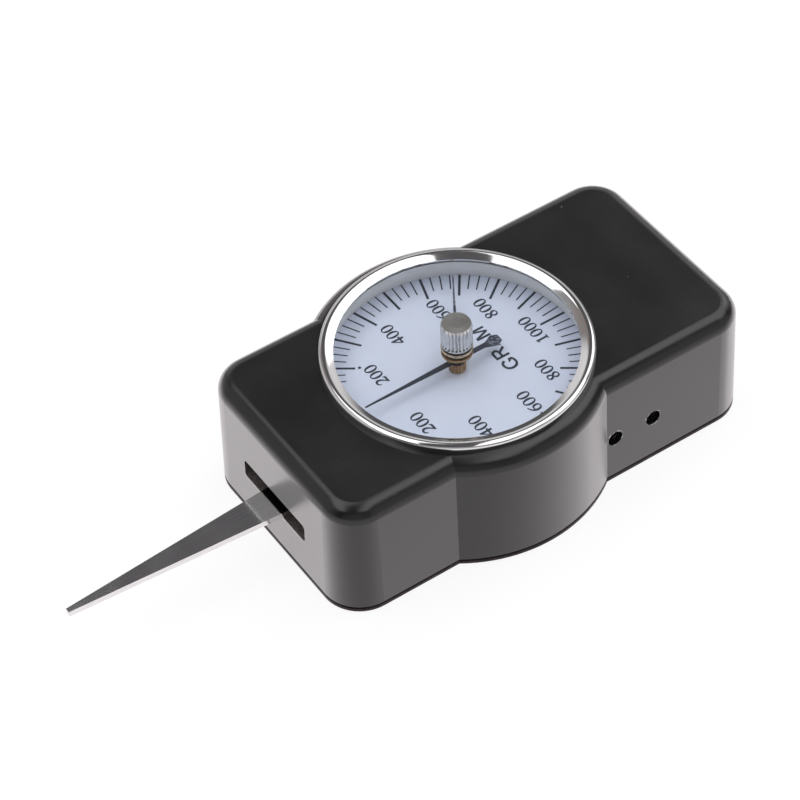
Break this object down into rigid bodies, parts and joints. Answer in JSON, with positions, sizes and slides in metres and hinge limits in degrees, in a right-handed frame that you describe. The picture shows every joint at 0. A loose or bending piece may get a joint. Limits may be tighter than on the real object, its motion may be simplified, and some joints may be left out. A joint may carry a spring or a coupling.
{
  "type": "force gauge",
  "caption": "Dial force gauge: black case, round bulge, chromed ring, printed dial, peak pointer with fluted knob, and a tapered feeler arm swinging in a front slot.",
  "frame": {"origin": "on the dial axis, on the flat underside of the back cover, the face that the gauge rests on", "axes": "+Z out of the dial along its axis, +Y along the case away from the feeler, so the feeler points along -Y, +X to the side with the two adjusting holes"},
  "size_m": [0.0622, 0.1437, 0.0353],
  "materials": {
    "black_case": "satin black stoved paint on die-cast aluminium",
    "plated_steel": "zinc-plated steel",
    "chromed_ring": "bright chrome plate",
    "clear_lens": "clear flat lens",
    "pale_reflector": "matt pale grey",
    "dial_white": "matt bluish white with printed scale",
    "brass": "turned and stamped brass",
    "bronze": "turned bronze",
    "turned_steel": "turned steel",
    "spring_steel": "tempered spring steel",
    "polished_steel": "ground and polished stainless steel",
    "dark_pointer": "dark blue-black lacquer",
    "plated_knob": "nickel-plated, fluted",
    "black_washer": "black fibre washer"
  },
  "bodies": {
    "case": {"housing": "black_case", "back_cover": "plated_steel", "cover_screws": "plated_steel", "bezel_ring": "chromed_ring", "lens": "clear_lens", "reflector_ring": "pale_reflector", "dial_plate": "dial_white", "lower_plate": "brass", "upper_plate": "brass", "pillars": "brass", "pillar_screws": "plated_steel", "movement_screws": "plated_steel", "arbor_bridge": "brass", "bridge_posts": "brass", "bridge_screws": "plated_steel", "arm_bushes": "bronze", "arbor_bushes": "bronze", "stop_pins": "turned_steel", "measuring_springs": "spring_steel", "spring_anchor": "turned_steel", "anchor_shim": "spring_steel", "anchor_clamp_screws": "plated_steel", "anchor_screw": "plated_steel", "adjuster_bracket": "plated_steel", "bracket_screws": "plated_steel", "adjusting_screws": "plated_steel", "hairspring": "spring_steel", "hairspring_stud": "brass", "knob_bush": "brass", "bush_nut": "brass"},
    "feeler": {"feeler_arm": "polished_steel", "arm_carrier": "turned_steel", "arm_shaft": "turned_steel", "sector_gear": "brass", "arm_screws": "plated_steel", "carrier_shim": "spring_steel", "carrier_clamp_screw": "plated_steel"},
    "pointer": {"pointer_arbor": "turned_steel", "pinion": "turned_steel", "hairspring_collet": "brass", "pointer_hub": "brass", "pointer": "dark_pointer"},
    "peak": {"peak_pointer": "dark_pointer", "peak_hub": "turned_steel", "knob_spindle": "turned_steel", "knob": "plated_knob", "friction_washer": "black_washer"}
  },
  "joints": [
    {"name": "feeler_swing", "type": "hinge", "parent": "case", "child": "feeler", "pos_m": [0, -0.026, 0.0117], "axis": [0, 0, 1], "range_deg": [-15, 15], "stiffness_Nm_per_rad": 2.38, "deforming": ["measuring_springs"]},
    {"name": "pointer_turn", "type": "hinge", "parent": "case", "child": "pointer", "pos_m": [0, 0, 0.02], "axis": [0, 0, 1], "range_deg": [-180, 180], "deforming": ["hairspring"]},
    {"name": "peak_turn", "type": "hinge", "parent": "case", "child": "peak", "pos_m": [0, 0, 0.032], "axis": [0, 0, 1], "continuous": true}
  ],
  "couplings": [
    {"joint": "pointer_turn", "follows": "feeler_swing", "ratio": -12}
  ]
}
